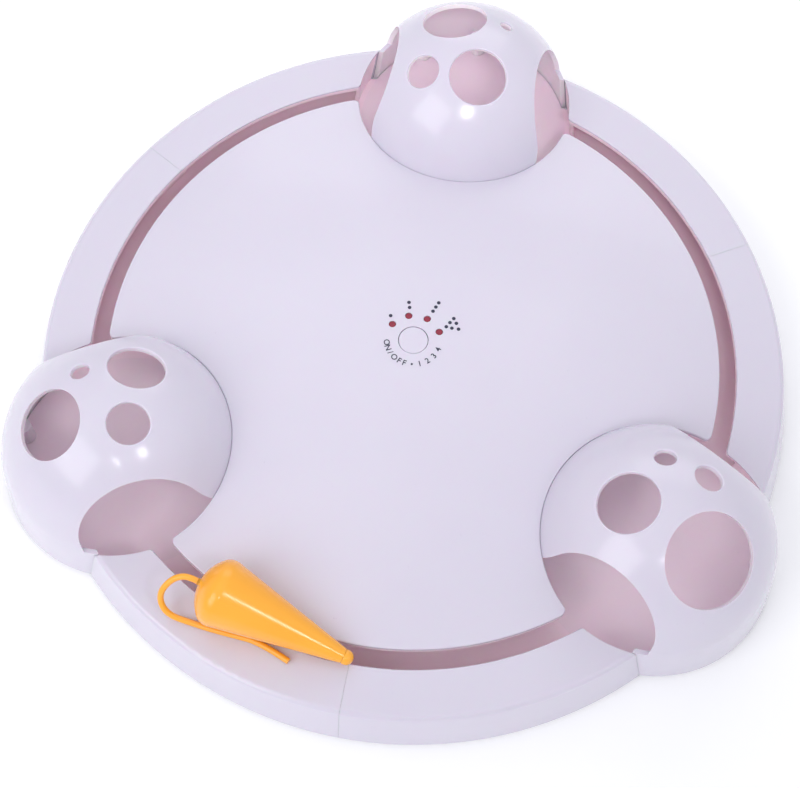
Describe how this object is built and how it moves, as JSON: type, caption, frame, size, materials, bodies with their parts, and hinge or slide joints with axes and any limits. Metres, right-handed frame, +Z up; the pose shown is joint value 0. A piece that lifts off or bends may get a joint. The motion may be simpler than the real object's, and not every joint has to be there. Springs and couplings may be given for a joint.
{
  "type": "automatic cat toy",
  "caption": "Round floor toy for cats: hiding domes with paw holes over a slotted ring, crowned deck with button, and a motor-driven arm that carries a mouse round the slot.",
  "frame": {"origin": "middle of the middle foot's underside, on the axis that the arm turns about, at floor level", "axes": "+Z up out of the deck; +Y towards the first dome, which is farthest from the viewer; +X to the viewer's right"},
  "size_m": [0.3706, 0.39, 0.0739],
  "materials": {
    "base_gloss": "glossy",
    "dome_gloss": "glossy",
    "deck_gloss": "glossy",
    "core_plastic": "satin",
    "door_plastic": "satin",
    "button_plastic": "satin",
    "mouse_gloss": "glossy",
    "tail_soft": "satin",
    "light_lens": "glossy",
    "gear_plastic": "satin",
    "rotor_plastic": "satin",
    "steel": "machined",
    "motor_steel": "drawn",
    "contact_nickel": "plated",
    "brass": "turned",
    "cell_wrap": "glossy",
    "board_green": "satin",
    "part_black": "matte",
    "foot_rubber": "matte",
    "tyre_rubber": "matte"
  },
  "bodies": {
    "base": {"ring_sector_a": "base_gloss", "ring_sector_b": "base_gloss", "ring_sector_c": "base_gloss", "dome_a": "dome_gloss", "dome_b": "dome_gloss", "dome_c": "dome_gloss", "play_deck": "deck_gloss", "core_tray": "core_plastic", "battery_cell_1": "cell_wrap", "battery_cell_2": "cell_wrap", "battery_cell_3": "cell_wrap", "contact_plates": "contact_nickel", "contact_springs": "contact_nickel", "motor_can": "motor_steel", "motor_bracket": "core_plastic", "gear_axle_a": "steel", "gear_axle_b": "steel", "gear_plate": "core_plastic", "circuit_board": "board_green", "board_parts": "part_black", "indicator_light_1": "light_lens", "indicator_light_2": "light_lens", "indicator_light_3": "light_lens", "indicator_light_4": "light_lens", "switch_body": "part_black", "foot_pads": "foot_rubber", "sector_screws": "steel", "dome_screws": "steel", "deck_screws": "steel", "board_screws": "steel", "motor_bracket_screws": "steel", "gear_plate_screws": "steel"},
    "rotor": {"rotor_ring": "rotor_plastic", "rotor_arm": "rotor_plastic", "arm_screws": "steel", "arm_wheel_axle": "steel", "mouse_peg": "steel", "mouse_body": "mouse_gloss", "mouse_tail": "tail_soft"},
    "support_wheel": {"arm_wheel": "gear_plastic", "arm_wheel_tyre": "tyre_rubber"},
    "last_gear": {"gear_b": "gear_plastic"},
    "middle_gear": {"gear_a": "gear_plastic"},
    "motor_rotor": {"motor_shaft": "steel", "motor_pinion": "brass"},
    "button": {"button_cap": "button_plastic"},
    "plunger": {"switch_plunger": "part_black"},
    "door": {"battery_door": "door_plastic"}
  },
  "joints": [
    {"name": "arm_spin", "type": "hinge", "parent": "base", "child": "rotor", "pos_m": [0, 0, 0], "axis": [0, 0, 1], "continuous": true},
    {"name": "gear_b_spin", "type": "hinge", "parent": "base", "child": "last_gear", "pos_m": [0, -0.0565, 0.016], "axis": [0, 0, 1], "continuous": true},
    {"name": "gear_a_spin", "type": "hinge", "parent": "base", "child": "middle_gear", "pos_m": [0.014, -0.04112, 0.022], "axis": [0, 0, 1], "continuous": true},
    {"name": "motor_spin", "type": "hinge", "parent": "base", "child": "motor_rotor", "pos_m": [-0.00159, -0.03212, 0.022], "axis": [0, 0, 1], "continuous": true},
    {"name": "support_wheel_spin", "type": "hinge", "parent": "rotor", "child": "support_wheel", "pos_m": [-0.02924, -0.12667, 0.00875], "axis": [-0.225, -0.9744, 0], "continuous": true},
    {"name": "button_press", "type": "slide", "parent": "base", "child": "button", "axis": [0, 0, -1], "range_m": [0, 0.0006], "stiffness_N_per_m": 600, "springref_m": -0.001},
    {"name": "plunger_press", "type": "slide", "parent": "base", "child": "plunger", "axis": [0, 0, -1], "range_m": [0, 0.0006]},
    {"name": "door_swing", "type": "hinge", "parent": "base", "child": "door", "pos_m": [0, 0.04775, 0.0022], "axis": [1, 0, 0], "range_deg": [0, 90]}
  ],
  "couplings": [
    {"joint": "gear_b_spin", "follows": "arm_spin", "ratio": 8.5333},
    {"joint": "gear_a_spin", "follows": "arm_spin", "ratio": -28.444},
    {"joint": "motor_spin", "follows": "arm_spin", "ratio": 113.78},
    {"joint": "support_wheel_spin", "follows": "arm_spin", "ratio": -23.636},
    {"joint": "plunger_press", "follows": "button_press", "ratio": 1}
  ]
}
